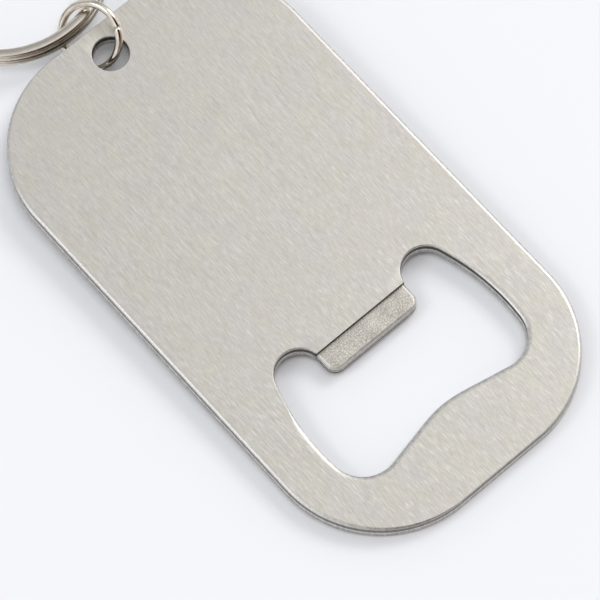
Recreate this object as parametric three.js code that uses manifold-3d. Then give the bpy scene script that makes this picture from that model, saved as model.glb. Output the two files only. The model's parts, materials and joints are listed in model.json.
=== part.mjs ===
// Keychain bottle opener, in millimetres, +Z up.
//
// Three separate pieces: a stamped stainless plate with its lifting lip pressed in
// one piece with it, an open jump ring of round wire through the plate's hole, and a
// two-turn split ring that runs through the jump ring and carries the keys.
//
// The plate is drawn flat in its own axes: X across it, Y along it towards the ring
// hole, and Z through it, with the back face at Z = 0 and the middle of that face at
// the origin. The finished object lies on a table. The jump ring passes under the end
// of the plate and lifts it, so the whole group is tipped a little about X, and the
// object's own origin is on the table, under the middle of its bounding box.

import * as THREE from 'three';
import { mergeVertices } from 'three/addons/utils/BufferGeometryUtils.js';
import Module from 'manifold-3d';

const wasm = await Module();
wasm.setup();

// ---- Plate ----
const plateWidth = 40;
const plateLength = 72;
const plateThickness = 2;
const plateCornerRadius = 14;
const edgeRounding = 0.2; // tumbled edge round both faces, the hole and the opening

// ---- Ring hole ----
const holeDiameter = 4.2;
const holeInset = 4; // hole centre to the end of the plate

// ---- Cap opening ----
const openingWidth = 27.9; // at its widest
const openingBottomInset = 8.6; // lowest corners of the opening to the end of the plate
const openingSideRadius = 28;
const openingCornerRadius = 4.2;
const bumpRise = 1.62; // the bottom edge bows in by this much between the corners
const bumpRadius = 14;
const lobeRadius = 2.9; // round relief on each side of the lip
const lobeDrop = 0.5; // lobe centres below the root of the lip

// ---- Lifting lip, pressed thinner than the plate ----
const lipRootInset = 24; // root of the lip to the end of the plate
const lipWidth = 13.4;
const lipReach = 2.95;
const lipThickness = 1.45;
const lipCornerRadius = 1.4;
const lipRounding = 0.35;
const lipOverlap = 0.6; // how far the lip is let into the plate before they are joined

// ---- Jump ring ----
const jumpWire = 0.95;
const jumpDiameter = 7.8; // to the middle of the wire
const jumpSeam = 0.12; // gap between the butted ends
const jumpSeamOffset = 0.14; // the ends don't quite line up
const jumpSeamAngle = 42; // degrees round the ring from its highest point
const jumpPitch = 7; // degrees
const jumpClearance = 0.14; // wire to the rim of the hole where the ring leans on it
const jumpWireInHole = new THREE.Vector3(0.51, -0.19, 0.16); // from the middle of the hole

// ---- Split ring ----
const splitDiameter = 25; // outside
const splitWireWidth = 1.4; // across the ring's face
const splitWireHeight = 1.05; // each turn
const splitTurnGap = 0.1; // between the two turns
const splitCorner = 0.36;
const splitJoggle = 30; // degrees over which the wire steps from one turn to the next
const splitJoggleAt = 65; // degrees round the ring, on the side away from the plate
const splitShift = -1.74; // from the middle of the jump ring, across the plate
const splitClearance = 0.8; // least room beside its wire, to the plate's end and in the jump ring

// ---- Fineness of the faceted curves ----
const arcSag = 0.012; // largest distance between an arc and its chords
const edgeSegments = 2;
const wireSides = 14;
const splitCornerSegments = 2;
const jumpSteps = 56;
const splitSteps = 104;

const endY = plateLength / 2;
const holeY = endY - holeInset;
const rootY = -endY + lipRootInset;

const steel = { metalness: 1, roughness: 0.38 };
const brushedSteel = new THREE.MeshStandardMaterial({ color: 0xcdc9c3, ...steel });
const nickel = new THREE.MeshStandardMaterial({ color: 0xd9d2c6, metalness: 1, roughness: 0.16 });
const keyRingSteel = new THREE.MeshStandardMaterial({ color: 0xc9c4ba, metalness: 1, roughness: 0.2 });

function toManifold(geometry) {
  const bare = geometry.clone();
  bare.deleteAttribute('normal');
  bare.deleteAttribute('uv');
  const merged = mergeVertices(bare, 1e-5);
  return new wasm.Manifold(new wasm.Mesh({
    numProp: 3,
    vertProperties: Float32Array.from(merged.attributes.position.array),
    triVerts: Uint32Array.from(merged.index.array),
  }));
}

function toGeometry(solid) {
  const mesh = solid.getMesh();
  const geometry = new THREE.BufferGeometry();
  geometry.setAttribute('position', new THREE.BufferAttribute(mesh.vertProperties, 3));
  geometry.setIndex(new THREE.BufferAttribute(mesh.triVerts, 1));
  geometry.computeVertexNormals();
  return geometry;
}

// Points along a circular arc, with angles in radians, close enough together for arcSag.
function arc(x, y, radius, start, end) {
  const step = 2 * Math.acos(1 - arcSag / radius);
  const count = Math.max(2, Math.ceil(Math.abs(end - start) / step));
  const points = [];
  for (let i = 0; i <= count; i += 1) {
    const angle = start + ((end - start) * i) / count;
    points.push(new THREE.Vector2(x + radius * Math.cos(angle), y + radius * Math.sin(angle)));
  }
  return points;
}

// Mirrors one half of a symmetric outline in X = 0 and closes it. The half runs from
// the axis, or from one side of it, round to the other end of the axis.
function mirrored(half) {
  const other = half.map((point) => new THREE.Vector2(-point.x, point.y)).reverse();
  const ring = [...half, ...other];
  return ring.filter((point, i) => point.distanceTo(ring[(i + 1) % ring.length]) > 1e-3);
}

function slab(shape, thickness, rounding) {
  const geometry = new THREE.ExtrudeGeometry(shape, {
    depth: thickness - 2 * rounding,
    bevelThickness: rounding,
    bevelSize: rounding,
    bevelOffset: -rounding,
    bevelSegments: edgeSegments,
  });
  return geometry.translate(0, 0, rounding);
}

// ---- Outlines ----
function plateOutline() {
  const x = plateWidth / 2 - plateCornerRadius;
  const y = plateLength / 2 - plateCornerRadius;
  return mirrored([
    ...arc(x, -y, plateCornerRadius, -Math.PI / 2, 0),
    ...arc(x, y, plateCornerRadius, 0, Math.PI / 2),
  ]);
}

// Right half of the opening, from the root of the lip round the lobe, down the bowed
// side, round the lower corner and up on to the bump in the middle of the bottom edge.
// Each arc is tangent to the next.
function openingOutline() {
  const lobe = new THREE.Vector2(lipWidth / 2 + lobeRadius, rootY - lobeDrop);
  const side = new THREE.Vector2(openingWidth / 2 - openingSideRadius, 0);
  const reach = openingSideRadius - lobeRadius;
  side.y = lobe.y - Math.sqrt(reach ** 2 - (lobe.x - side.x) ** 2);

  const bottomY = -endY + openingBottomInset;
  const corner = new THREE.Vector2(0, bottomY + openingCornerRadius);
  const inner = openingSideRadius - openingCornerRadius;
  corner.x = side.x + Math.sqrt(inner ** 2 - (corner.y - side.y) ** 2);

  const bump = new THREE.Vector2(0, bottomY + bumpRise - bumpRadius);
  const between = corner.clone().sub(bump);
  const lean = Math.acos((openingCornerRadius + bumpRadius) / between.length());
  const bumpEnd = between.angle() + lean;

  const lobeStart = Math.PI - Math.asin(lobeDrop / lobeRadius);
  const lobeEnd = lobe.clone().sub(side).angle();
  const cornerStart = corner.clone().sub(side).angle() - 2 * Math.PI;
  return mirrored([
    ...arc(lobe.x, lobe.y, lobeRadius, lobeStart, lobeEnd),
    ...arc(side.x, side.y, openingSideRadius, lobeEnd, cornerStart),
    ...arc(corner.x, corner.y, openingCornerRadius, cornerStart, bumpEnd - Math.PI),
    ...arc(bump.x, bump.y, bumpRadius, bumpEnd, Math.PI / 2),
  ]);
}

function lipOutline() {
  const x = lipWidth / 2;
  const frontY = rootY - lipReach;
  return mirrored([
    ...arc(x - lipCornerRadius, frontY + lipCornerRadius, lipCornerRadius, -Math.PI / 2, 0),
    new THREE.Vector2(x, rootY + lipOverlap),
  ]);
}

// ---- Pieces ----
function makePlate() {
  const shape = new THREE.Shape(plateOutline());
  const hole = arc(0, holeY, holeDiameter / 2, 0, 2 * Math.PI).slice(1);
  shape.holes.push(new THREE.Path(hole), new THREE.Path(openingOutline()));
  const plate = toManifold(slab(shape, plateThickness, edgeRounding));
  const lip = toManifold(slab(new THREE.Shape(lipOutline()), lipThickness, lipRounding));
  const mesh = new THREE.Mesh(toGeometry(plate.add(lip)), brushedSteel);
  mesh.name = 'opener_plate';
  return mesh;
}

// Middle of the jump ring's wire, from one butted end round to the other.
class JumpRingCurve extends THREE.Curve {
  getPoint(t, target = new THREE.Vector3()) {
    const radius = jumpDiameter / 2;
    const seam = jumpSeam / radius;
    const angle = seam / 2 + t * (2 * Math.PI - seam);
    const rise = jumpSeamOffset * (t - 0.5);
    return target.set(radius * Math.cos(angle), radius * Math.sin(angle), rise);
  }
}

function makeJumpRing() {
  const circle = new THREE.EllipseCurve(0, 0, jumpWire / 2, jumpWire / 2);
  const section = new THREE.Shape(circle.getPoints(wireSides).slice(1));
  const geometry = new THREE.ExtrudeGeometry(section, {
    steps: jumpSteps,
    extrudePath: new JumpRingCurve(),
  });
  const mesh = new THREE.Mesh(geometry, nickel);
  mesh.name = 'jump_ring';
  return mesh;
}

// Middle of the split ring's wire: once round below, a smooth step up, once round above.
class SplitRingCurve extends THREE.Curve {
  getPoint(t, target = new THREE.Vector3()) {
    const radius = (splitDiameter - splitWireWidth) / 2;
    const joggle = THREE.MathUtils.degToRad(splitJoggle);
    const angle = joggle / 2 + t * (4 * Math.PI - joggle);
    const climb = THREE.MathUtils.smoothstep(angle - 2 * Math.PI, -joggle / 2, joggle / 2);
    const lift = (splitWireHeight + splitTurnGap) * (climb - 0.5);
    return target.set(radius * Math.cos(angle), radius * Math.sin(angle), lift);
  }
}

// Cross-section of the split ring's wire: X along the ring's axis, Y across its face.
function splitSection() {
  const x = splitWireHeight / 2 - splitCorner;
  const y = splitWireWidth / 2 - splitCorner;
  const points = [];
  for (let quarter = 0; quarter < 4; quarter += 1) {
    const right = quarter === 0 || quarter === 3 ? 1 : -1;
    const top = quarter < 2 ? 1 : -1;
    for (let i = 0; i <= splitCornerSegments; i += 1) {
      const angle = ((quarter + i / splitCornerSegments) * Math.PI) / 2;
      const px = right * x + splitCorner * Math.cos(angle);
      points.push(new THREE.Vector2(px, top * y + splitCorner * Math.sin(angle)));
    }
  }
  return new THREE.Shape(points);
}

function makeSplitRing() {
  const geometry = new THREE.ExtrudeGeometry(splitSection(), {
    steps: splitSteps,
    extrudePath: new SplitRingCurve(),
  });
  const mesh = new THREE.Mesh(geometry, keyRingSteel);
  mesh.name = 'split_ring';
  return mesh;
}

// ---- How the rings lie ----

// Distance from a point to the plate's metal near the ring hole; negative inside it.
function distanceToPlate(point) {
  const x = Math.abs(point.x) - (plateWidth / 2 - plateCornerRadius);
  const y = Math.abs(point.y) - (plateLength / 2 - plateCornerRadius);
  const outside = Math.hypot(Math.max(x, 0), Math.max(y, 0)) + Math.min(Math.max(x, y), 0);
  const inHole = holeDiameter / 2 - Math.hypot(point.x, point.y - holeY);
  const across = Math.max(outside - plateCornerRadius, inHole);
  const above = Math.abs(point.z - plateThickness / 2) - plateThickness / 2;
  return Math.hypot(Math.max(across, 0), Math.max(above, 0)) + Math.min(Math.max(across, above), 0);
}

// The jump ring's own axes in the plate's: uphill, level and square to the ring.
// A lean of 90 degrees stands it on edge across the plate's end. Where the split ring
// needs more room past the plate's end, it draws the jump ring out through the hole.
function jumpRingAxes(lean) {
  const tip = THREE.MathUtils.degToRad(lean);
  const pitch = THREE.MathUtils.degToRad(jumpPitch);
  const square = new THREE.Vector3(
    -Math.sin(tip) * Math.cos(pitch),
    -Math.sin(pitch),
    Math.cos(tip) * Math.cos(pitch),
  );
  const uphill = new THREE.Vector3(0, 0, 1).addScaledVector(square, -square.z).normalize();
  const level = square.clone().cross(uphill);
  const centre = new THREE.Vector3(0, holeY, plateThickness / 2)
    .add(jumpWireInHole)
    .addScaledVector(level, jumpDiameter / 2);
  const farY = centre.y + level.y * jumpDiameter / 2 - jumpWire / 2;
  const roomNeeded = splitWireWidth + 2 * splitClearance;
  const drawnOut = Math.max(0, roomNeeded - (farY - endY));
  centre.y += drawnOut;
  return { uphill, level, square, centre, farY: farY + drawnOut };
}

function jumpRingGap(lean) {
  const { uphill, level, centre } = jumpRingAxes(lean);
  const radius = jumpDiameter / 2;
  let gap = Infinity;
  for (let turn = 0; turn < 360; turn += 1) {
    const angle = THREE.MathUtils.degToRad(turn);
    const point = centre.clone()
      .addScaledVector(uphill, radius * Math.cos(angle))
      .addScaledVector(level, radius * Math.sin(angle));
    gap = Math.min(gap, distanceToPlate(point) - jumpWire / 2);
  }
  return gap;
}

// The jump ring leans over until it all but touches the rim of the hole.
function restingLean() {
  const step = 0.25;
  let lean = 90;
  while (jumpRingGap(lean - step) > jumpClearance) lean -= step;
  return lean;
}

const jumpAxes = jumpRingAxes(restingLean());
const jumpRing = makeJumpRing();
jumpRing.rotation.z = THREE.MathUtils.degToRad(-jumpSeamAngle);
const jumpGroup = new THREE.Group();
jumpGroup.add(jumpRing);
jumpGroup.quaternion.setFromRotationMatrix(
  new THREE.Matrix4().makeBasis(jumpAxes.uphill, jumpAxes.level, jumpAxes.square),
);
jumpGroup.position.copy(jumpAxes.centre);

// The table touches the opener end of the plate and the underside of the jump ring.
const jumpLowest = jumpAxes.centre.clone().addScaledVector(jumpAxes.uphill, -jumpDiameter / 2);
const plateTip = Math.atan2(jumpWire / 2 - jumpLowest.z, jumpLowest.y + endY);

// The split ring passes midway between the plate's end and the far side of the jump
// ring, level with the jump ring's middle, and its own far side lies on the table.
const splitNear = new THREE.Vector3(
  jumpAxes.centre.x + splitShift,
  (endY + jumpAxes.farY) / 2,
  jumpAxes.centre.z,
);
const splitRadius = (splitDiameter - splitWireWidth) / 2;
const nearHeight = (splitNear.y + endY) * Math.sin(plateTip) + splitNear.z * Math.cos(plateTip);
const farHeight = splitWireHeight + splitTurnGap / 2;
const splitSlope = Math.asin((nearHeight - farHeight) / (2 * splitRadius)) + plateTip;
const splitRing = makeSplitRing();
splitRing.rotation.z = THREE.MathUtils.degToRad(splitJoggleAt);
const splitGroup = new THREE.Group();
splitGroup.add(splitRing);
splitGroup.rotation.x = -splitSlope;
splitGroup.position.copy(splitNear);
splitGroup.position.y += splitRadius * Math.cos(splitSlope);
splitGroup.position.z -= splitRadius * Math.sin(splitSlope);

// ---- Assembly ----
const assembly = new THREE.Group();
assembly.add(makePlate(), jumpGroup, splitGroup);
assembly.rotation.x = plateTip;

const opener = new THREE.Group();
opener.add(assembly);
const box = new THREE.Box3().setFromObject(opener, true);
const middle = box.getCenter(new THREE.Vector3());
assembly.position.set(-middle.x, -middle.y, -box.min.z);

export default opener;
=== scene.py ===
"""Keychain bottle opener: a brushed stainless plate, a jump ring and a split ring.

Shapes are worked out in millimetres in the plate's own axes (X across it, Y along it
towards the ring hole, Z up through it from the middle of its back face) and then laid
where the frame has the plate. Blender itself works in metres.
"""

import json
import math

import bmesh
import bpy
from mathutils import Matrix, Vector


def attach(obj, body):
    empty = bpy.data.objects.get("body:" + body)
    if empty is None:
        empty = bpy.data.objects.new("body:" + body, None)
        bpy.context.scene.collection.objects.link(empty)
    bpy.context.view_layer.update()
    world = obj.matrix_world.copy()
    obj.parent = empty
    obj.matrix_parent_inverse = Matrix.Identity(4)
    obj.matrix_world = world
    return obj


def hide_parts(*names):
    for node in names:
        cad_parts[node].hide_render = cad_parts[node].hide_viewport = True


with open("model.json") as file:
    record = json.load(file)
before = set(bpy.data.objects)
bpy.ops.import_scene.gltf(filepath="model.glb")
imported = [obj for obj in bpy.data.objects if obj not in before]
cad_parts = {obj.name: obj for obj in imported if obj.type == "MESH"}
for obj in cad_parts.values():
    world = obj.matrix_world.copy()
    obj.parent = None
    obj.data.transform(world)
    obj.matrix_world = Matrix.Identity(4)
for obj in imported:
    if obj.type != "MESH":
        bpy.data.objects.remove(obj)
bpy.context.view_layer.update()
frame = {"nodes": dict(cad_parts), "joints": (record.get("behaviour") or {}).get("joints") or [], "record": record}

MM = 0.001

# ---- Plate, in millimetres ----
PLATE_WIDTH = 40.0
PLATE_LENGTH = 72.0
PLATE_THICKNESS = 2.0
PLATE_CORNER = 14.0
HOLE_DIAMETER = 4.2
HOLE_INSET = 4.0

# ---- Cap opening ----
OPENING_WIDTH = 27.9
OPENING_BOTTOM_INSET = 8.6
OPENING_SIDE_RADIUS = 28.0
OPENING_CORNER = 4.2
BUMP_RISE = 1.62
BUMP_RADIUS = 14.0
LOBE_RADIUS = 2.9
LOBE_DROP = 0.5

# ---- Lifting lip ----
LIP_ROOT_INSET = 24.0
LIP_WIDTH = 13.4
LIP_REACH = 2.95
LIP_THICKNESS = 1.45
LIP_CORNER = 1.4
LIP_OVERLAP = 0.6  # how far the lip's own slab runs back into the plate
LIP_LIFT = 0.007  # keeps the lip's underside just clear of the plate's own

# ---- Jump ring ----
JUMP_WIRE = 0.95
JUMP_DIAMETER = 7.8
JUMP_SEAM = 0.12
JUMP_SEAM_OFFSET = 0.14
JUMP_SEAM_ANGLE = 42.0  # degrees round from the ring's highest side
JUMP_STEPS = 220  # lengths that its wire is drawn in

# ---- Split ring ----
SPLIT_DIAMETER = 25.0
SPLIT_WIDTH = 1.4
SPLIT_HEIGHT = 1.05
SPLIT_TURN_GAP = 0.1
SPLIT_JOGGLE = 30.0  # degrees that the step between the turns takes
SPLIT_JOGGLE_AT = 65.0  # degrees round the ring to the middle of that step
SPLIT_FLATS = 0.03  # the plain ring's flats lie this far inside its circle
SPLIT_SQUARENESS = 2.7  # 2 gives an oval section, and more a squarer one
SPLIT_STEPS = 460  # lengths that its wire is drawn in

WIRE_SIDES = 36
BROKEN_END = (0.84, 0.95)  # sizes of the first two sections at a wire's cut end

END_Y = PLATE_LENGTH / 2
HOLE_Y = END_Y - HOLE_INSET
ROOT_Y = -END_Y + LIP_ROOT_INSET
FRONT_Y = ROOT_Y - LIP_REACH

# ---- Edges of the sheet: (width, height) of each rounding ----
SIDE_ROLL = (0.6, 0.22)  # along the plate's two long sides
END_ROLL = (0.18, 0.13)  # at the middle of its two ends, which have less
HOLE_ROLL = (0.2, 0.14)
OPENING_ROLL = (0.25, 0.18)  # beside the lip
BUMP_ROLL = (0.7, 0.18)  # below the lip, where the opening's edge is rounded wider
ROOT_ROLL = (0.07, 0.06)  # the crisp line where the lip was pressed down
LIP_ROLL = (0.5, 0.36)
PLATE_UNDERSIDE = (0.3, 0.35)
LIP_UNDERSIDE = (0.3, 0.45)
ROLL_STEPS = 7

# A punched edge is wiped smooth above and torn below: (setback, foot of the smooth
# part, head of the torn part).
PLATE_SHEAR = (0.08, 1.05, 0.92)
LIP_SHEAR = (0.03, 0.8, 0.72)

ROLL_TURN = math.radians(60)  # how far round the rolled edge goes before its crease
CUT_SLOPE = 0.3  # a face whose normal rises less than this belongs to the upright cut
ROLL_SLOPE = 0.985  # one whose normal rises less than this belongs to a rounding
LEVEL = 0.9999  # one whose normal rises more than this is part of the flat face

ARC_SAG = 0.002  # largest distance between an arc and its chords
LONG_STRAIGHT = 0.75  # a straight longer than this is divided
STRAIGHT_STEP = 0.5  # into pieces about this long
SAME_POINT = 0.0001  # points nearer than this are taken as one

# ---- Order of the plate's loops and finishes ----
OUTER, HOLE = range(2)  # the third loop is the cap opening
# The rim's finish carries a painted highlight, and the two cut finishes after it are painted shade, the second the
# deeper.
COINED, RIM_HIGHLIGHT, SOFT_SHADE_CUT, DEEP_SHADE_CUT, TORN, ROLLED = range(1, 7)  # 0 is the brushed face

# ---- Camera, in the plate's axes ----
CAMERA_EYE = (-122.69, -141.77, 457.03)
CAMERA_AIM = (-3.75, -5.78, PLATE_THICKNESS)
CAMERA_SENSOR = 36.0
CAMERA_LENS = 258.0

TABLE_REACH = 1.5  # metres from the middle of the table to its sides


# ---- Where the frame has things ----
def mount(name):
    """The place and the axis of a mount in the record."""
    found = next(m for m in frame["record"]["mounts"] if m["name"] == name)
    return Vector(found["pos_m"]), Vector(found["axis"]).normalized()


def joint(name):
    """The place and the axis of a joint."""
    found = next(j for j in frame["joints"] if j["name"] == name)
    return Vector(found["pos_m"]), Vector(found["axis"]).normalized()


def axes_matrix(x, y, z, origin):
    """A matrix with these axes and origin, scaled so that what it places is in mm."""
    turn = Matrix((x, y, z)).transposed().to_4x4()
    return Matrix.Translation(origin) @ turn @ Matrix.Scale(MM, 4)


def plate_matrix():
    """The plate lies between the mounts on its two side edges, and the jump ring's
    hinge runs along it."""
    right, across = mount("right_edge")
    middle = (right + mount("left_edge")[0]) / 2
    along = -joint("jump_ring_flop")[1]
    up = across.cross(along)
    return axes_matrix(across, along, up, middle - up * PLATE_THICKNESS / 2 * MM)


def ring_matrix(node):
    """The middle and the axes of a ring from its CAD node, with X to its highest side.
    Pairs of points well apart on the ring give its normal."""
    points = [v.co for v in frame["nodes"][node].data.vertices]
    middle = sum(points, Vector()) / len(points)
    normal = Vector()
    apart = len(points) // 3
    for a, b in zip(points, points[apart:]):
        cross = (a - middle).cross(b - middle)
        normal += cross if cross.z > 0 else -cross
    normal.normalize()
    uphill = (Vector((0, 0, 1)) - normal * normal.z).normalized()
    return axes_matrix(uphill, normal.cross(uphill), normal, middle)


# ---- Outlines ----
def arc(x, y, radius, start, end):
    """Points along an arc, angles in radians."""
    step = 2 * math.acos(1 - ARC_SAG / radius)
    count = max(2, math.ceil(abs(end - start) / step))
    turn = [start + (end - start) * i / count for i in range(count + 1)]
    return [Vector((x + radius * math.cos(a), y + radius * math.sin(a))) for a in turn]


def line(a, b):
    """Points between a and b, without either of them."""
    count = max(1, round((b - a).length / STRAIGHT_STEP))
    return [a.lerp(b, i / count) for i in range(1, count)]


def closed(points):
    """The outline with long straights divided and doubled points taken out."""
    kept = [p for i, p in enumerate(points) if (p - points[i - 1]).length > SAME_POINT]
    out = []
    for a, b in zip(kept, kept[1:] + kept[:1]):
        out.append(a)
        if (b - a).length > LONG_STRAIGHT:
            out += line(a, b)
    return out


def mirrored(half):
    """The whole outline whose right half, from bottom to top or top to bottom, is this."""
    return closed(half + [Vector((-p.x, p.y)) for p in reversed(half)])


def angle_of(v):
    return math.atan2(v.y, v.x)


def plate_outline():
    x, y = PLATE_WIDTH / 2 - PLATE_CORNER, PLATE_LENGTH / 2 - PLATE_CORNER
    lower = arc(x, -y, PLATE_CORNER, -math.pi / 2, 0)
    return mirrored(lower + arc(x, y, PLATE_CORNER, 0, math.pi / 2))


def hole_outline():
    return closed(arc(0, HOLE_Y, HOLE_DIAMETER / 2, 2 * math.pi, 0))


def opening_outline():
    """Round the lobe, down the bowed side, round the corner and on to the bump."""
    lobe = Vector((LIP_WIDTH / 2 + LOBE_RADIUS, ROOT_Y - LOBE_DROP))
    side = Vector((OPENING_WIDTH / 2 - OPENING_SIDE_RADIUS, 0))
    reach = OPENING_SIDE_RADIUS - LOBE_RADIUS
    side.y = lobe.y - math.sqrt(reach**2 - (lobe.x - side.x) ** 2)
    bottom = -END_Y + OPENING_BOTTOM_INSET
    corner = Vector((0, bottom + OPENING_CORNER))
    inner = OPENING_SIDE_RADIUS - OPENING_CORNER
    corner.x = side.x + math.sqrt(inner**2 - (corner.y - side.y) ** 2)
    bump = Vector((0, bottom + BUMP_RISE - BUMP_RADIUS))
    between = corner - bump
    lean = math.acos((OPENING_CORNER + BUMP_RADIUS) / between.length)
    bump_end = angle_of(between) + lean
    lobe_start = math.pi - math.asin(LOBE_DROP / LOBE_RADIUS)
    lobe_end = angle_of(lobe - side)
    corner_start = angle_of(corner - side)
    return mirrored(
        arc(lobe.x, lobe.y, LOBE_RADIUS, lobe_start, lobe_end)
        + arc(side.x, side.y, OPENING_SIDE_RADIUS, lobe_end, corner_start)
        + arc(corner.x, corner.y, OPENING_CORNER, corner_start, bump_end - math.pi)
        + arc(bump.x, bump.y, BUMP_RADIUS, bump_end, math.pi / 2)
    )


def lip_outline():
    x = LIP_WIDTH / 2
    lower = arc(x - LIP_CORNER, FRONT_Y + LIP_CORNER, LIP_CORNER, -math.pi / 2, 0)
    return mirrored(lower + [Vector((x, ROOT_Y + LIP_OVERLAP))])


def inward(points):
    """For each point of a loop with metal on its left, the step into the metal that
    moves both of its sides in by 1. At a very sharp corner it stays within 2."""
    steps = []
    sharpest = -0.5
    for i, p in enumerate(points):
        before = (p - points[i - 1]).normalized()
        after = (points[(i + 1) % len(points)] - p).normalized()
        a, b = Vector((-before.y, before.x)), Vector((-after.y, after.x))
        steps.append((a + b) / (1 + max(a.dot(b), sharpest)))
    return steps


# ---- Meshes ----
def share(value):
    """The value, kept between 0 and 1."""
    return min(max(value, 0), 1)


def blend(a, b, amount):
    """The size that lies this share of the way from a to b."""
    return tuple(p + (q - p) * amount for p, q in zip(a, b))


def edge_profile(thickness, top, bottom, shear):
    """(inset, height) down the cut edge: rolled over at the top, straight, then
    rounded at the bottom. top and bottom are (width, height) of the roundings, and the
    roll meets the cut in a crease. shear is (step, height, height below it): the upper
    part, which the punch wiped smooth, is set back a little from the torn part."""
    step = shear[0]
    rows = []
    for i in range(ROLL_STEPS + 1):
        a = i / ROLL_STEPS * ROLL_TURN
        drop = top[1] * (1 - math.cos(a)) / (1 - math.cos(ROLL_TURN))
        inset = (top[0] - step) * (1 - math.sin(a) / math.sin(ROLL_TURN))
        rows.append((step + inset, thickness - drop))
    rows += [(step, shear[1]), (0, shear[2])]
    for i in range(ROLL_STEPS + 1):
        a = (1 - i / ROLL_STEPS) * math.pi / 2
        rows.append((bottom[0] * (1 - math.sin(a)), bottom[1] * (1 - math.cos(a))))
    return rows


def slab(loops, profile_of):
    """A closed slab. loops are outlines with metal on their left, the outer one first,
    and profile_of(loop's number, point) is the edge profile there."""
    bm = bmesh.new()
    tops, bottoms = [], []
    for number, loop in enumerate(loops):
        steps = inward(loop)
        columns = []
        for p, step in zip(loop, steps):
            rows = profile_of(number, p)
            columns.append([bm.verts.new((*(p + step * d), z)) for d, z in rows])
        for a, b in zip(columns, columns[1:] + columns[:1]):
            for i in range(len(a) - 1):
                bm.faces.new((a[i], a[i + 1], b[i + 1], b[i]))
        for ring, row in ((tops, 0), (bottoms, -1)):
            pairs = zip(columns, columns[1:] + columns[:1])
            ring += [bm.edges.get((a[row], b[row])) for a, b in pairs]
    for ring in (tops, bottoms):
        bmesh.ops.triangle_fill(bm, use_beauty=True, edges=ring)
    bmesh.ops.recalc_face_normals(bm, faces=bm.faces)
    return bm


def new_object(name, bm):
    mesh = bpy.data.meshes.new(name)
    bm.to_mesh(mesh)
    bm.free()
    thing = bpy.data.objects.new(name, mesh)
    bpy.context.scene.collection.objects.link(thing)
    return thing


def swept(points, frames, section):
    """A closed bar with this section along points. frames are (right, up) at each."""
    bm = bmesh.new()
    rings = []
    for p, (right, up), scale in zip(points, frames, end_scales(len(points))):
        ring = [bm.verts.new(p + (right * x + up * y) * scale) for x, y in section]
        rings.append(ring)
    for a, b in zip(rings, rings[1:]):
        for i in range(len(section)):
            j = (i + 1) % len(section)
            bm.faces.new((a[i], a[j], b[j], b[i]))
    bm.faces.new(rings[0])
    bm.faces.new(rings[-1])
    bmesh.ops.recalc_face_normals(bm, faces=bm.faces)
    return bm


def end_scales(count):
    """The cut ends are slightly broken: the first and last rings shrink a little."""
    scales = [1.0] * count
    for i, scale in enumerate(BROKEN_END):
        scales[i] = scales[-1 - i] = scale
    return scales


def plate_edge(loop, p):
    """The plate's edge profile at this point of the outer loop, hole or opening."""
    slack = 0.1
    on_root_line = abs(p.y - ROOT_Y) < slack and abs(p.x) < LIP_WIDTH / 2 + slack
    if loop == OUTER:
        beside = (abs(p.x) - PLATE_WIDTH / 2) / PLATE_CORNER + 1
        top = blend(END_ROLL, SIDE_ROLL, share(beside))
    elif loop == HOLE:
        top = HOLE_ROLL
    elif on_root_line:
        top = ROOT_ROLL
    else:
        below_lip = (FRONT_Y - p.y) / LIP_REACH
        top = blend(OPENING_ROLL, BUMP_ROLL, share(below_lip))
    return edge_profile(PLATE_THICKNESS, top, PLATE_UNDERSIDE, PLATE_SHEAR)


def lip_edge(_, p):
    """The lip's edge profile, the same all round."""
    return edge_profile(LIP_THICKNESS, LIP_ROLL, LIP_UNDERSIDE, LIP_SHEAR)


def build_plate():
    """The flat plate and the thinner lip, joined into one closed mesh."""
    loops = [plate_outline(), hole_outline(), opening_outline()]
    body = new_object("opener_body", slab(loops, plate_edge))
    lip = new_object("pressed_lip", slab([lip_outline()], lip_edge))
    lip.data.transform(Matrix.Translation((0, 0, LIP_LIFT)))
    joined = body.modifiers.new("lip", "BOOLEAN")
    joined.operation = "UNION"
    joined.solver = "EXACT"
    joined.object = lip
    depsgraph = bpy.context.evaluated_depsgraph_get()
    mesh = bpy.data.meshes.new_from_object(body.evaluated_get(depsgraph))
    body.modifiers.clear()
    body.data = mesh
    bpy.data.objects.remove(lip)
    return body


def build_jump_ring():
    """Round wire bent into a ring, its cut ends butted a little out of line."""
    radius = JUMP_DIAMETER / 2
    seam = JUMP_SEAM / radius
    turn = [2 * math.pi * i / WIRE_SIDES for i in range(WIRE_SIDES)]
    section = [(JUMP_WIRE / 2 * math.cos(a), JUMP_WIRE / 2 * math.sin(a)) for a in turn]
    points, frames = [], []
    for i in range(JUMP_STEPS + 1):
        t = i / JUMP_STEPS
        a = -math.radians(JUMP_SEAM_ANGLE) + seam / 2 + t * (2 * math.pi - seam)
        outward = Vector((math.cos(a), math.sin(a), 0))
        points.append(outward * radius + Vector((0, 0, JUMP_SEAM_OFFSET * (t - 0.5))))
        frames.append((outward, Vector((0, 0, 1))))
    return new_object("jump_ring_wire", swept(points, frames, section))


def flattened_section():
    """The section of a wire rolled nearly flat: an oblong with well rounded corners."""
    power = 2 / SPLIT_SQUARENESS
    section = []
    for i in range(WIRE_SIDES):
        a = 2 * math.pi * i / WIRE_SIDES
        c, s = math.cos(a), math.sin(a)
        x = math.copysign(abs(c) ** power, c) * SPLIT_WIDTH / 2
        y = math.copysign(abs(s) ** power, s) * SPLIT_HEIGHT / 2
        section.append((x, y))
    return section


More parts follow.
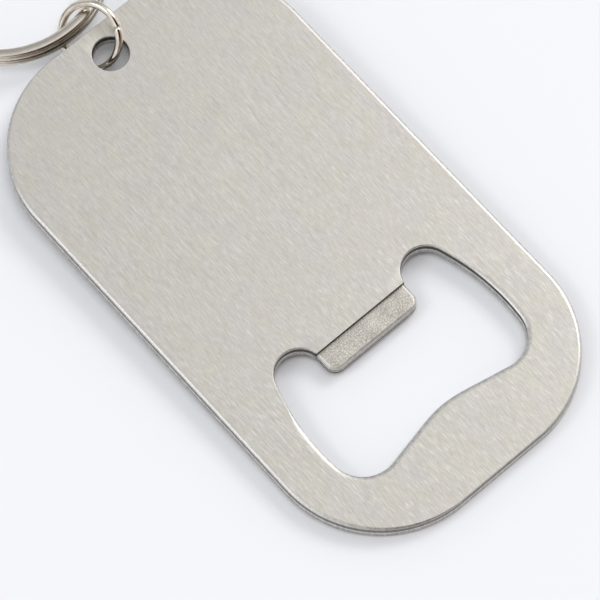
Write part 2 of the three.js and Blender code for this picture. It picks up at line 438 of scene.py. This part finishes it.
def build_split_ring():
    """One wire, once round below, a smooth step up, and once round above."""
    radius = (SPLIT_DIAMETER - SPLIT_WIDTH) / 2 - SPLIT_FLATS
    joggle = math.radians(SPLIT_JOGGLE)
    points, frames = [], []
    for i in range(SPLIT_STEPS + 1):
        a = joggle / 2 + i / SPLIT_STEPS * (4 * math.pi - joggle)
        t = share((a - 2 * math.pi) / joggle + 0.5)
        lift = (SPLIT_HEIGHT + SPLIT_TURN_GAP) * (t * t * (3 - 2 * t) - 0.5)
        a += math.radians(SPLIT_JOGGLE_AT)
        outward = Vector((math.cos(a), math.sin(a), 0))
        points.append(outward * radius + Vector((0, 0, lift)))
        frames.append((outward, Vector((0, 0, 1))))
    return new_object("split_ring_coil", swept(points, frames, flattened_section()))


def split_ring_matrix():
    """The split ring lies round the mount in its middle, square to that mount's axis."""
    middle, square = mount("key_loop")
    across = Vector((1, 0, 0))
    return axes_matrix(across, square.cross(across), square, middle)


# ---- Materials ----
def srgb(code):
    """An sRGB hex colour as linear RGBA."""
    parts = [int(code[i:i + 2], 16) / 255 for i in (1, 3, 5)]
    linear = [c / 12.92 if c <= 0.04045 else ((c + 0.055) / 1.055) ** 2.4 for c in parts]
    return (*linear, 1.0)


def add(tree, kind, settings=None, links=None, stops=()):
    """Adds a node. settings are its properties and its sockets' values, links maps a
    socket to the output that feeds it, and stops are a colour ramp's positions, each
    with a hex colour or a grey value."""
    node = tree.nodes.new(kind)
    for key, value in (settings or {}).items():
        if isinstance(key, str) and hasattr(node, key):
            setattr(node, key, value)
        else:
            node.inputs[key].default_value = value
    for key, output in (links or {}).items():
        tree.links.new(output, node.inputs[key])
    while stops and len(node.color_ramp.elements) < len(stops):
        node.color_ramp.elements.new(0.5)
    for i, (position, colour) in enumerate(stops):
        element = node.color_ramp.elements[i]
        element.position = position
        element.color = srgb(colour) if isinstance(colour, str) else (*[colour] * 3, 1)
    return node


def new_material(name):
    material = bpy.data.materials.new(name)
    material.use_nodes = True
    material.node_tree.nodes.clear()
    return material, material.node_tree


def feature(x, y, z):
    """The mapping scale that makes a pattern's features this many millimetres long."""
    return [1 / (x * MM), 1 / (y * MM), 1 / (z * MM)]


def brushed_stainless():
    """Stainless steel sheet, finished on a fine abrasive belt run along its length. The
    grit leaves short parallel scratches, which give a satin sheen and streaks of slightly
    different grey. Where it has been handled there are single scratches, painted
    lighter: real scratches with a painted glint."""
    material, tree = new_material("brushed_stainless")
    place = add(tree, "ShaderNodeTexCoord").outputs["Object"]
    # The grit's scratches are near 0.03 mm wide; drawn 0.11 mm wide, to show.
    fine_at = add(tree, "ShaderNodeMapping", {"Scale": feature(0.11, 1.0, 1.0)},
                  {"Vector": place})
    fine = add(tree, "ShaderNodeTexNoise", {"Scale": 1.0, "Detail": 3.0, "Roughness": 0.7},
               {"Vector": fine_at.outputs["Vector"]})
    # Bands where the belt ran a little heavier, 0.22 mm wide and 4 mm long.
    long_at = add(tree, "ShaderNodeMapping", {"Scale": feature(0.22, 3.8, 1.0)},
                  {"Vector": place})
    long_ones = add(tree, "ShaderNodeTexNoise", {"Scale": 1.0, "Detail": 2.0},
                    {"Vector": long_at.outputs["Vector"]})
    streaks = add(tree, "ShaderNodeMix", {"data_type": "FLOAT", 0: 0.3},
                  {2: fine.outputs["Fac"], 3: long_ones.outputs["Fac"]})
    shade = add(tree, "ShaderNodeValToRGB", links={"Fac": streaks.outputs[0]},
                stops=[(0.3, "#c6c4bd"), (0.5, "#d7d4cd"), (0.7, "#e8e5de")])
    # Faint clouds of warmer and cooler grey, 3 to 4 mm across.
    cloud_at = add(tree, "ShaderNodeMapping", {"Scale": feature(3.0, 4.0, 3.0)},
                   {"Vector": place})
    clouds = add(tree, "ShaderNodeTexNoise", {"Scale": 1.0, "Detail": 3.0},
                 {"Vector": cloud_at.outputs["Vector"]})
    tint = add(tree, "ShaderNodeValToRGB", links={"Fac": clouds.outputs["Fac"]},
               stops=[(0.38, "#f7f6f2"), (0.62, "#f6f4f6")])
    colour = add(tree, "ShaderNodeMix", {"data_type": "RGBA", "blend_type": "MULTIPLY", 0: 1.0},
                 {6: shade.outputs["Color"], 7: tint.outputs["Color"]})
    # Single scratches, 0.04 mm wide on the real plate; drawn 0.09 mm wide, to show.
    # There are more of them towards the cap opening, where the plate is handled.
    stray_at = add(tree, "ShaderNodeMapping",
                   {"Scale": feature(0.09, 1.3, 1.0), "Rotation": (0, 0, 0.04)},
                   {"Vector": place})
    stray = add(tree, "ShaderNodeTexNoise", {"Scale": 1.0, "Detail": 1.0},
                {"Vector": stray_at.outputs["Vector"]})
    bright = add(tree, "ShaderNodeValToRGB", links={"Fac": stray.outputs["Fac"]},
                 stops=[(0.58, 0.0), (0.74, 0.7)])
    along = add(tree, "ShaderNodeSeparateXYZ", links={"Vector": place})
    handled = add(tree, "ShaderNodeMapRange",
                  {"From Min": 15.0 * MM, "From Max": -30.0 * MM, "To Min": 0.25, "To Max": 1.0},
                  {"Value": along.outputs["Y"]})
    marked = add(tree, "ShaderNodeMath", {"operation": "MULTIPLY"},
                 {0: bright.outputs["Color"], 1: handled.outputs["Result"]})
    # The single scratches are painted a lighter grey: real scratches with a painted glint on them.
    scratches_and_glints = add(tree, "ShaderNodeMix", {"data_type": "RGBA", 7: srgb("#f3f1ec")},
                    {0: marked.outputs["Value"], 6: colour.outputs[2]})
    rough = add(tree, "ShaderNodeMapRange",
                {"From Min": 0.3, "From Max": 0.7, "To Min": 0.36, "To Max": 0.46},
                {"Value": streaks.outputs[0]})
    bump = add(tree, "ShaderNodeBump", {"Strength": 0.3, "Distance": 0.01 * MM},
               {"Height": streaks.outputs[0]})
    shader = add(tree, "ShaderNodeBsdfPrincipled", {"Metallic": 1.0},
                 {"Base Color": scratches_and_glints.outputs[2], "Roughness": rough.outputs["Result"],
                  "Normal": bump.outputs["Normal"]})
    add(tree, "ShaderNodeOutputMaterial", links={"Surface": shader.outputs["BSDF"]})
    return material


def cut_edge(name, dark, light, roughness, relief):
    """The edge of stamped stainless sheet. The punch leaves upright marks in it, which
    break its reflections into short vertical stripes of lighter and darker grey. How
    smooth it is depends on what made that part: the punch wiping it, the sheet tearing
    below the punch, the die pressing it, or tumbling that rubbed it. Its two greys are
    partly painted light: on the upper part of the cut they are painted shade, and on
    the lip's rim a painted highlight."""
    material, tree = new_material(name)
    place = add(tree, "ShaderNodeTexCoord").outputs["Object"]
    # Punch marks are near 0.1 mm wide; drawn 0.3 mm wide, to show, and 1.5 mm tall.
    marks_at = add(tree, "ShaderNodeMapping", {"Scale": feature(0.3, 0.3, 1.5)},
                   {"Vector": place})
    marks = add(tree, "ShaderNodeTexNoise", {"Scale": 1.0, "Detail": 3.0},
                {"Vector": marks_at.outputs["Vector"]})
    shade = add(tree, "ShaderNodeValToRGB", links={"Fac": marks.outputs["Fac"]},
                stops=[(0.35, dark), (0.65, light)])
    rough = add(tree, "ShaderNodeMapRange",
                {"From Min": 0.3, "From Max": 0.7, "To Min": roughness,
                 "To Max": roughness + 0.14}, {"Value": marks.outputs["Fac"]})
    bump = add(tree, "ShaderNodeBump", {"Strength": 0.4, "Distance": relief * MM},
               {"Height": marks.outputs["Fac"]})
    shader = add(tree, "ShaderNodeBsdfPrincipled", {"Metallic": 1.0},
                 {"Base Color": shade.outputs["Color"], "Roughness": rough.outputs["Result"],
                  "Normal": bump.outputs["Normal"]})
    add(tree, "ShaderNodeOutputMaterial", links={"Surface": shader.outputs["BSDF"]})
    return material


def coined_stainless():
    """Stainless steel squeezed thinner between rough dies. It takes the dies' pebbled
    surface, so the lip looks mottled, darker and rougher than the brushed face."""
    material, tree = new_material("coined_stainless_lip")
    place = add(tree, "ShaderNodeTexCoord").outputs["Object"]
    # The pebbles are 0.1 to 0.2 mm across.
    pebbles_at = add(tree, "ShaderNodeMapping", {"Scale": feature(0.13, 0.2, 0.2)},
                     {"Vector": place})
    pebbles = add(tree, "ShaderNodeTexNoise", {"Scale": 1.0, "Detail": 4.0, "Roughness": 0.65},
                  {"Vector": pebbles_at.outputs["Vector"]})
    # Blotches 2 mm across, where the dies pressed harder.
    blotches_at = add(tree, "ShaderNodeMapping", {"Scale": feature(2.2, 2.2, 2.2)},
                      {"Vector": place})
    blotches = add(tree, "ShaderNodeTexNoise", {"Scale": 1.0, "Detail": 2.0},
                   {"Vector": blotches_at.outputs["Vector"]})
    both = add(tree, "ShaderNodeMix", {"data_type": "FLOAT", 0: 0.2},
               {2: pebbles.outputs["Fac"], 3: blotches.outputs["Fac"]})
    shade = add(tree, "ShaderNodeValToRGB", links={"Fac": both.outputs[0]},
                stops=[(0.36, "#99968e"), (0.5, "#c3bfb6"), (0.64, "#eae6dd")])
    bump = add(tree, "ShaderNodeBump", {"Strength": 0.8, "Distance": 0.05 * MM},
               {"Height": both.outputs[0]})
    shader = add(tree, "ShaderNodeBsdfPrincipled", {"Metallic": 1.0, "Roughness": 0.48},
                 {"Base Color": shade.outputs["Color"], "Normal": bump.outputs["Normal"]})
    add(tree, "ShaderNodeOutputMaterial", links={"Surface": shader.outputs["BSDF"]})
    return material


def nickel_plate(name, colour, roughness, handling):
    """Bright nickel plate over drawn steel wire: mirror bright and a little warm, so it
    shows the whole room in hard cream, brown and grey lines. Drawing left hairlines
    under the plate, and handling leaves faint smears that dull it in places."""
    material, tree = new_material(name)
    place = add(tree, "ShaderNodeTexCoord").outputs["Object"]
    # Smears a finger leaves, 1 mm across.
    smears_at = add(tree, "ShaderNodeMapping", {"Scale": feature(1.1, 1.1, 1.1)},
                    {"Vector": place})
    smears = add(tree, "ShaderNodeTexNoise", {"Scale": 1.0, "Detail": 4.0},
                 {"Vector": smears_at.outputs["Vector"]})
    # Hairlines are near 0.02 mm wide; drawn 0.12 mm wide, to show.
    hairs_at = add(tree, "ShaderNodeMapping",
                   {"Scale": feature(0.12, 2.0, 0.5), "Rotation": (0.3, 0.2, 0.6)},
                   {"Vector": place})
    hairs = add(tree, "ShaderNodeTexNoise", {"Scale": 1.0, "Detail": 3.0},
                {"Vector": hairs_at.outputs["Vector"]})
    rough = add(tree, "ShaderNodeMapRange",
                {"From Min": 0.35, "From Max": 0.7, "To Min": roughness,
                 "To Max": roughness + handling}, {"Value": smears.outputs["Fac"]})
    shade = add(tree, "ShaderNodeValToRGB", links={"Fac": smears.outputs["Fac"]},
                stops=[(0.3, colour), (0.75, "#cfc6b8")])
    bump = add(tree, "ShaderNodeBump", {"Strength": 0.12, "Distance": 0.01 * MM},
               {"Height": hairs.outputs["Fac"]})
    shader = add(tree, "ShaderNodeBsdfPrincipled", {"Metallic": 1.0},
                 {"Base Color": shade.outputs["Color"], "Roughness": rough.outputs["Result"],
                  "Normal": bump.outputs["Normal"]})
    add(tree, "ShaderNodeOutputMaterial", links={"Surface": shader.outputs["BSDF"]})
    return material


def white_paper():
    """Matt white background paper, which gives soft shadows and no reflections."""
    material, tree = new_material("white_paper")
    shader = add(tree, "ShaderNodeBsdfPrincipled",
                 {"Base Color": srgb("#eceef1"), "Roughness": 0.9})
    add(tree, "ShaderNodeOutputMaterial", links={"Surface": shader.outputs["BSDF"]})
    return material


# ---- Pieces ----
def dress(piece, body, node, materials):
    """Gives a piece its finishes, and its place in the frame."""
    for material in materials:
        piece.data.materials.append(material)
    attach(piece, body)
    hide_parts(node)


def smooth(piece, degrees):
    """Shades a piece smoothly up to edges sharper than this. Its large faces lead, so
    the flat ones look flat."""
    for face in piece.data.polygons:
        face.use_smooth = True
    piece.data.set_sharp_from_angle(angle=math.radians(degrees))
    weighted = piece.modifiers.new("faces_lead", "WEIGHTED_NORMAL")
    weighted.keep_sharp = True
    weighted.weight = 100


def paint_plate(plate):
    """Gives each face its finish. The upper part of the cut is painted dark, as painted
    shade: less dark on the plate's outside and along the lip, darkest on the walls of
    the hole and the opening. The lower part is torn, but along the lip it too gets the
    darkest painted shade. The lip's rounded rim is painted lighter, a painted highlight."""
    straight_x = PLATE_WIDTH / 2 - PLATE_CORNER
    straight_y = PLATE_LENGTH / 2 - PLATE_CORNER
    slack = 0.01
    rim_width = 0.5
    for face in plate.data.polygons:
        place, up = face.center, abs(face.normal.z)
        on_lip = abs(place.x) < LIP_WIDTH / 2 + slack and FRONT_Y - slack < place.y < ROOT_Y
        foot = LIP_SHEAR[1] if on_lip else PLATE_SHEAR[1]
        past_x = max(abs(place.x) - straight_x, 0)
        past_y = max(abs(place.y) - straight_y, 0)
        outside = math.hypot(past_x, past_y) > PLATE_CORNER - rim_width
        # Painted shade: the upright cut gets two dark greys, the deeper one inside the hole and the opening and at
        # the lip's foot.
        if up < CUT_SLOPE and place.z < foot:
            face.material_index = DEEP_SHADE_CUT if on_lip else TORN
        elif up < CUT_SLOPE:
            face.material_index = SOFT_SHADE_CUT if outside or on_lip else DEEP_SHADE_CUT
        # Painted highlight: the lip's rounded rim gets a lighter grey than its coined top.
        elif on_lip and place.z > LIP_THICKNESS / 2:
            face.material_index = COINED if up > ROLL_SLOPE else RIM_HIGHLIGHT
        elif up < ROLL_SLOPE and place.z > LIP_THICKNESS / 2:
            face.material_index = ROLLED


def crease(plate):
    """Keeps the face flat up to the sharp line where the lip was pressed down, and ends
    the roundings sharply at the upright cut."""
    mesh = plate.data
    reach = 1.0
    flat, upright = {}, {}
    for face in mesh.polygons:
        for key in face.edge_keys:
            flat.setdefault(key, set()).add(face.normal.z > LEVEL)
            upright.setdefault(key, set()).add(abs(face.normal.z) < CUT_SLOPE)
    for edge in mesh.edges:
        a, b = (mesh.vertices[i].co for i in edge.vertices)
        middle = (a + b) / 2
        near_root = abs(middle.y - ROOT_Y) < reach and abs(middle.x) < LIP_WIDTH / 2 + reach
        if near_root and len(flat[edge.key]) == 2 or len(upright[edge.key]) == 2:
            edge.use_edge_sharp = True


plate = build_plate()
paint_plate(plate)
smooth(plate, 40)
crease(plate)
plate.data.transform(plate_matrix())
# After the brushed face: coined lip, rim (painted highlight), upper cut in soft and in deep painted shade, torn
# cut and rolled edges, in that order.
dress(plate, "opener", "opener_plate",
      [brushed_stainless(), coined_stainless(),
       cut_edge("coined_rim_highlight", "#dcdad5", "#f0eee9", 0.5, 0.01),
       cut_edge("stainless_edge_soft_shade", "#67645f", "#8d8a84", 0.3, 0.02),
       cut_edge("stainless_edge_deep_shade", "#383a36", "#5a5b55", 0.4, 0.04),
       cut_edge("torn_stainless_edge", "#a5a39f", "#c9c7c3", 0.42, 0.04),
       cut_edge("rubbed_stainless_roll", "#c4c2be", "#dcdad6", 0.36, 0.01)])

jump_ring = build_jump_ring()
jump_ring.data.transform(ring_matrix("jump_ring"))
smooth(jump_ring, 50)
dress(jump_ring, "jump_link", "jump_ring",
      [nickel_plate("nickel_plated_wire", "#f0e9dc", 0.06, 0.1)])

split_ring = build_split_ring()
split_ring.data.transform(split_ring_matrix())
smooth(split_ring, 50)
dress(split_ring, "key_link", "split_ring",
      [nickel_plate("nickel_plated_coil", "#dcd6cb", 0.17, 0.12)])


# ---- Stage, light and camera ----
def build_table():
    """A plain sheet of white paper under the opener."""
    bm = bmesh.new()
    bmesh.ops.create_grid(bm, x_segments=2, y_segments=2, size=TABLE_REACH)
    table = new_object("table_sweep", bm)
    table.data.materials.append(white_paper())


def soft_light(name, place, size, power, colour, glossy=True):
    """A square soft box, with its place and size in metres, aimed at the origin. One
    that isn't glossy lights the scene but isn't seen in the metal."""
    light = bpy.data.lights.new(name, "AREA")
    light.shape = "SQUARE"
    light.size = size
    light.energy = power
    light.color = srgb(colour)[:3]
    thing = bpy.data.objects.new(name, light)
    thing.location = place
    thing.rotation_euler = Vector(place).to_track_quat("Z", "Y").to_euler()
    thing.visible_glossy = glossy
    bpy.context.scene.collection.objects.link(thing)


def room_light():
    """White walls to left and right, a brown one in front, one behind that is grey
    halfway up, and two dark patches: the camera with its brown stand, and the operator
    beside it."""
    world = bpy.data.worlds.new("studio_room")
    bpy.context.scene.world = world
    world.use_nodes = True
    tree = world.node_tree
    tree.nodes.clear()
    where = add(tree, "ShaderNodeTexCoord").outputs["Generated"]
    axes = add(tree, "ShaderNodeSeparateXYZ", links={"Vector": where})
    height = add(tree, "ShaderNodeValToRGB", links={"Fac": axes.outputs["Z"]},
                 stops=[(0.0, "#9a9088"), (0.05, "#cbcdd0"), (0.3, "#eeeff2"), (0.8, "#f5f6f8")])
    depth = add(tree, "ShaderNodeMapRange", {"From Min": -1.0, "From Max": 1.0},
                {"Value": axes.outputs["Y"]})
    walls = add(tree, "ShaderNodeValToRGB", links={"Fac": depth.outputs["Result"]},
                stops=[(0.05, "#8a7a6c"), (0.3, "#ffffff"), (0.6, "#ffffff"), (0.84, "#a6a7aa"),
                       (1.0, "#ffffff")])
    room = add(tree, "ShaderNodeMix", {"data_type": "RGBA", "blend_type": "MULTIPLY", 0: 1.0},
               {6: height.outputs["Color"], 7: walls.outputs["Color"]})
    eye, aim = camera_line()
    stand = (eye - aim).normalized()
    operator = Vector((0.05, -0.6, 0.8))
    patches = (
        (stand, [(0.96, "#ffffff"), (0.975, "#b07a4c"), (0.985, "#4a3d34")]),
        (operator, [(0.85, "#ffffff"), (0.905, "#965c34"), (0.955, "#34302e")]),
    )
    for centre, stops in patches:
        nearness = add(tree, "ShaderNodeVectorMath", {"operation": "DOT_PRODUCT", 1: centre},
                       {0: where})
        patch = add(tree, "ShaderNodeValToRGB", links={"Fac": nearness.outputs["Value"]},
                    stops=stops)
        room = add(tree, "ShaderNodeMix",
                   {"data_type": "RGBA", "blend_type": "MULTIPLY", 0: 1.0},
                   {6: room.outputs[2], 7: patch.outputs["Color"]})
    glow = add(tree, "ShaderNodeBackground", {"Strength": 1.07}, {"Color": room.outputs[2]})
    add(tree, "ShaderNodeOutputWorld", links={"Surface": glow.outputs["Background"]})


def camera_line():
    """Where the camera stands and what it looks at."""
    plate_frame = plate_matrix()
    return plate_frame @ Vector(CAMERA_EYE), plate_frame @ Vector(CAMERA_AIM)


def build_camera():
    """Looks down on the plate from in front and to the left, without roll: the plate's
    own normal stands upright in the view."""
    eye, aim = camera_line()
    back = (eye - aim).normalized()
    upright = (plate_matrix().to_3x3() @ Vector((0, 0, 1))).normalized()
    right = upright.cross(back).normalized()
    camera = bpy.data.cameras.new("camera")
    camera.sensor_width = CAMERA_SENSOR
    camera.lens = CAMERA_LENS
    camera.clip_start = 0.01
    camera.clip_end = 20.0
    thing = bpy.data.objects.new("camera", camera)
    turn = Matrix((right, back.cross(right), back)).transposed().to_4x4()
    thing.matrix_world = Matrix.Translation(eye) @ turn
    bpy.context.scene.collection.objects.link(thing)
    bpy.context.scene.camera = thing


build_table()
room_light()
soft_light("key_softbox", (0.7, 0.06, 0.71), size=0.4, power=2.4, colour="#fffefc")
soft_light("overhead_softbox", (0.0, -0.2, 1.05), size=0.5, power=3.2, colour="#fbfcff",
           glossy=False)
# This one also draws the white line along the plate's left edge.
soft_light("fill_card", (-0.62, 0.28, 0.74), size=0.3, power=1.1, colour="#ffffff")
build_camera()
bpy.context.scene.view_settings.view_transform = "Standard"
